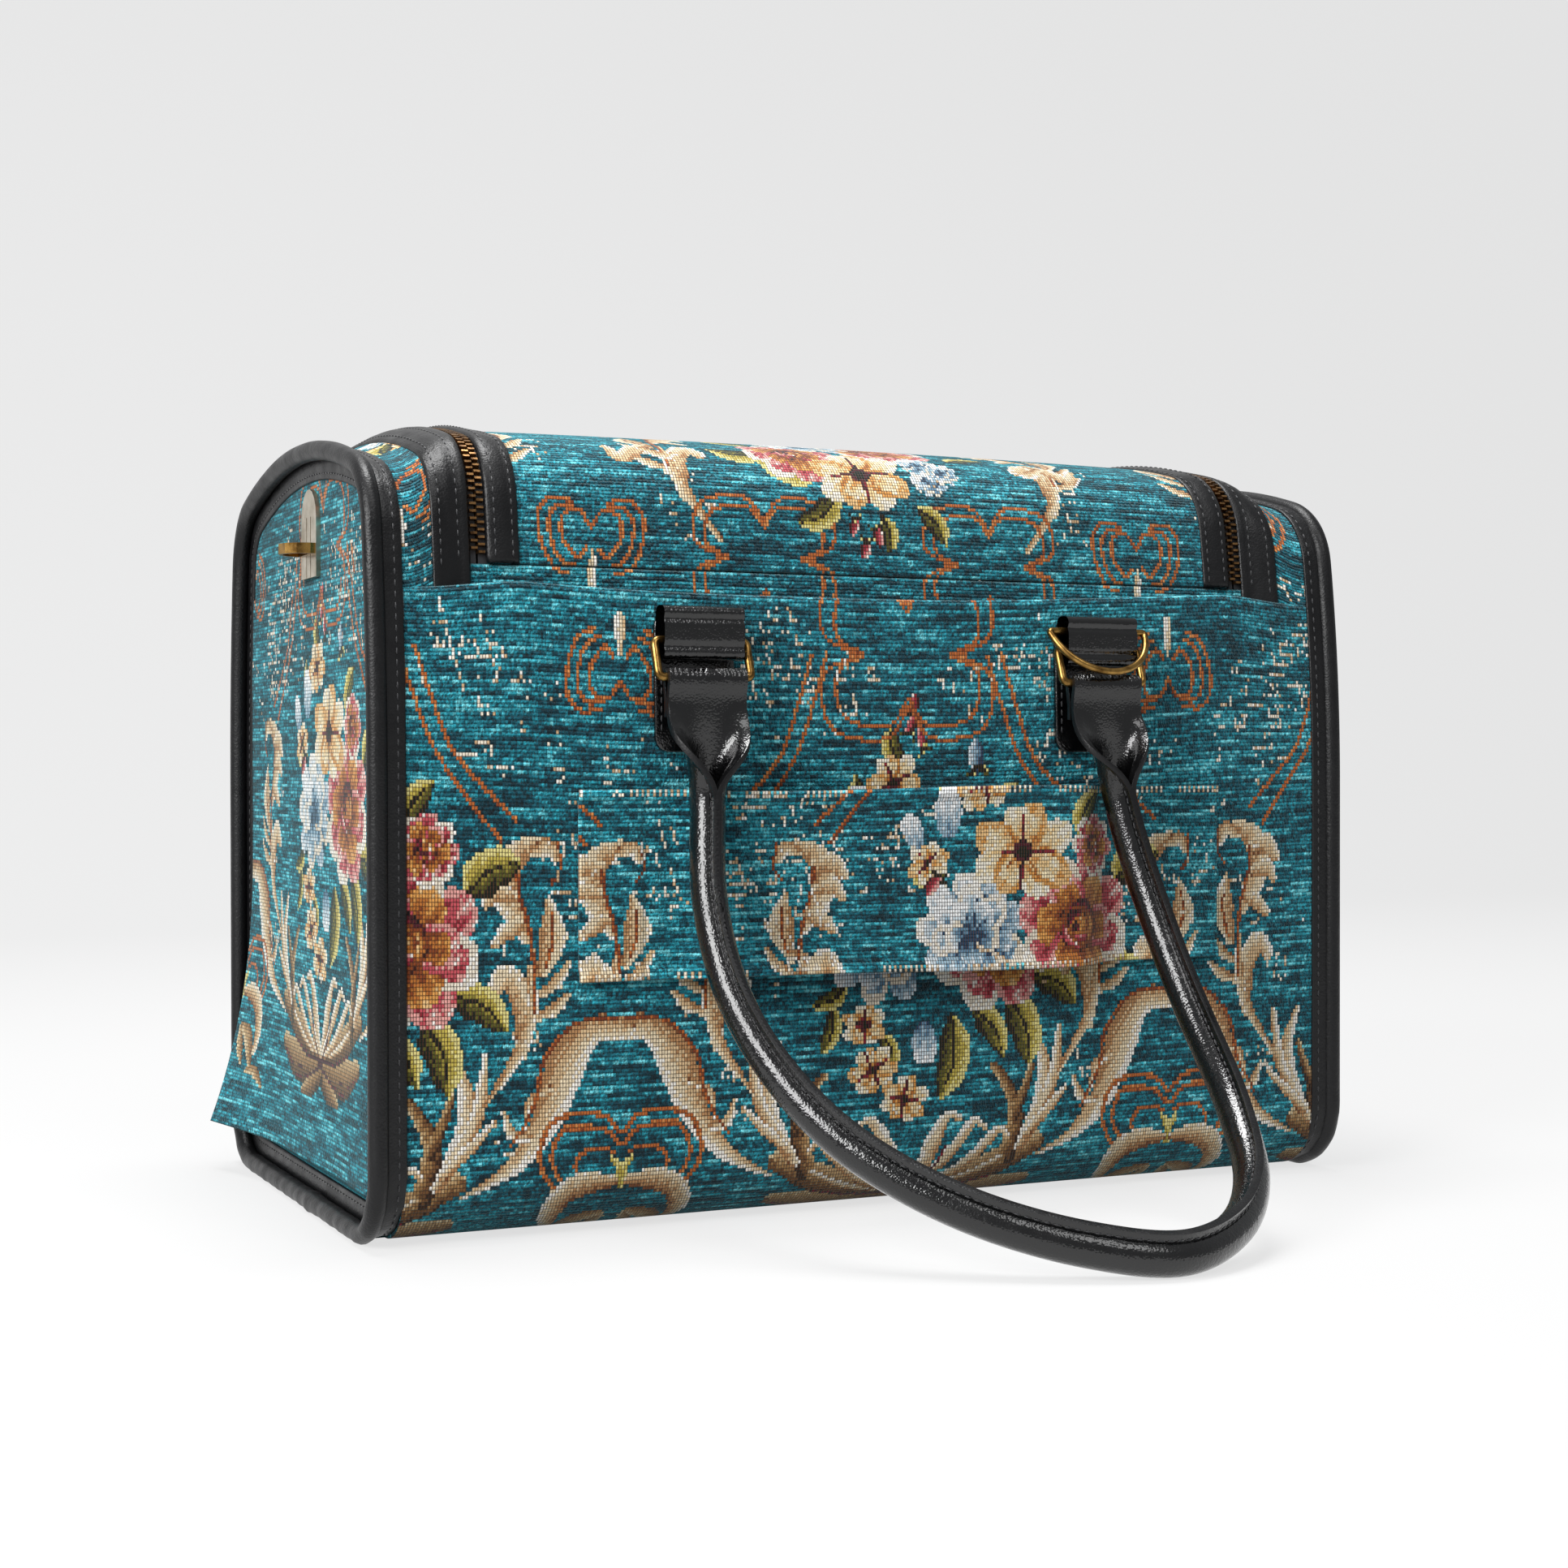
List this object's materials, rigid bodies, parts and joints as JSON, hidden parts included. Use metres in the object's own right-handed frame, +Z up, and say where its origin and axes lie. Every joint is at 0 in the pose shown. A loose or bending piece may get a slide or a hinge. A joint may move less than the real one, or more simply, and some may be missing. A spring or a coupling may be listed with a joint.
{
  "type": "dog carrier bag",
  "caption": "Loaf-shaped pet carrier bag in tapestry cloth with leather piping, zipped lid, rolled handles, slip pocket and trolley sleeve.",
  "frame": {"origin": "on the floor, under the middle of the bag", "axes": "+X along the bag to the right end, +Y from the near side with the slip pocket to the far side, +Z up"},
  "size_m": [0.4872, 0.588, 0.3344],
  "materials": {
    "tapestry": "ribbed chenille tapestry cloth, teal, with woven scrolls and flowers",
    "leather_trim": "black grained leather, satin",
    "handle_leather": "black polished leather",
    "antique_brass": "antique brass, darkened in the recesses",
    "zip_metal": "dark bronze zip teeth on black tape",
    "mesh": "black open polyester mesh",
    "board": "stiff black base board",
    "pad_cloth": "soft brushed comfort pad"
  },
  "bodies": {
    "bag": {"body_shell": "tapestry", "far_mesh_window": "mesh", "far_window_binding": "leather_trim", "body_zip_band": "leather_trim", "body_zip_half": "zip_metal", "near_pocket": "tapestry", "trolley_sleeve": "tapestry", "left_piping": "leather_trim", "right_piping": "leather_trim", "left_end_panel": "tapestry", "right_end_panel": "tapestry", "left_end_mesh": "mesh", "right_end_mesh": "mesh", "left_end_curtain": "tapestry", "right_end_curtain": "tapestry", "left_strap_plate": "antique_brass", "right_strap_plate": "antique_brass", "left_strap_loop": "antique_brass", "right_strap_loop": "antique_brass", "base_board": "board", "comfort_pad": "pad_cloth", "near_left_tab": "handle_leather", "near_right_tab": "handle_leather", "far_left_tab": "handle_leather", "far_right_tab": "handle_leather"},
    "lid": {"lid_panel": "tapestry", "lid_zip_band": "leather_trim", "lid_zip_half": "zip_metal"},
    "near_left_ring": {"near_left_ring": "antique_brass"},
    "near_right_ring": {"near_right_ring": "antique_brass"},
    "far_left_ring": {"far_left_ring": "antique_brass"},
    "far_right_ring": {"far_right_ring": "antique_brass"},
    "d_ring": {"d_ring": "antique_brass"},
    "near_handle": {"near_handle": "handle_leather"},
    "far_handle": {"far_handle": "handle_leather"},
    "left_slider": {"left_slider": "zip_metal"},
    "right_slider": {"right_slider": "zip_metal"},
    "left_pull_tab": {"left_pull_tab": "zip_metal"},
    "right_pull_tab": {"right_pull_tab": "zip_metal"}
  },
  "joints": [
    {"name": "lid_hinge", "type": "hinge", "parent": "bag", "child": "lid", "pos_m": [0, -0.11135, 0.2691], "axis": [1, 0, 0], "range_deg": [0, 105]},
    {"name": "near_left_ring_swing", "type": "hinge", "parent": "bag", "child": "near_left_ring", "pos_m": [-0.094, -0.13055, 0.239], "axis": [1, 0, 0], "range_deg": [-125, 0]},
    {"name": "near_right_ring_swing", "type": "hinge", "parent": "bag", "child": "near_right_ring", "pos_m": [0.094, -0.13055, 0.239], "axis": [1, 0, 0], "range_deg": [-125, 0]},
    {"name": "near_handle_swing", "type": "hinge", "parent": "near_left_ring", "child": "near_handle", "pos_m": [-0.094, -0.13602, 0.22396], "axis": [1, 0, 0], "range_deg": [-35, 0]},
    {"name": "far_left_ring_swing", "type": "hinge", "parent": "bag", "child": "far_left_ring", "pos_m": [-0.094, 0.13055, 0.239], "axis": [1, 0, 0], "range_deg": [0, 125]},
    {"name": "far_right_ring_swing", "type": "hinge", "parent": "bag", "child": "far_right_ring", "pos_m": [0.094, 0.13055, 0.239], "axis": [1, 0, 0], "range_deg": [0, 125]},
    {"name": "far_handle_swing", "type": "hinge", "parent": "far_left_ring", "child": "far_handle", "pos_m": [-0.094, 0.13602, 0.22396], "axis": [1, 0, 0], "range_deg": [0, 35]},
    {"name": "d_ring_swing", "type": "hinge", "parent": "bag", "child": "d_ring", "pos_m": [0.094, -0.13055, 0.2465], "axis": [1, 0, 0], "range_deg": [-125, 0]},
    {"name": "left_slider_run", "type": "slide", "parent": "bag", "child": "left_slider", "axis": [1, 0, 0], "range_m": [-0.135, 0]},
    {"name": "right_slider_run", "type": "slide", "parent": "bag", "child": "right_slider", "axis": [1, 0, 0], "range_m": [0, 0.135]},
    {"name": "left_pull_swing", "type": "hinge", "parent": "left_slider", "child": "left_pull_tab", "pos_m": [-0.0085, 0.12008, 0.27842], "axis": [1, 0, 0], "range_deg": [0, 150]},
    {"name": "right_pull_swing", "type": "hinge", "parent": "right_slider", "child": "right_pull_tab", "pos_m": [0.0085, 0.12008, 0.27842], "axis": [1, 0, 0], "range_deg": [0, 150]}
  ],
  "couplings": [
    {"joint": "near_right_ring_swing", "follows": "near_left_ring_swing", "ratio": 1},
    {"joint": "far_right_ring_swing", "follows": "far_left_ring_swing", "ratio": 1},
    {"joint": "d_ring_swing", "follows": "near_left_ring_swing", "ratio": 1}
  ]
}
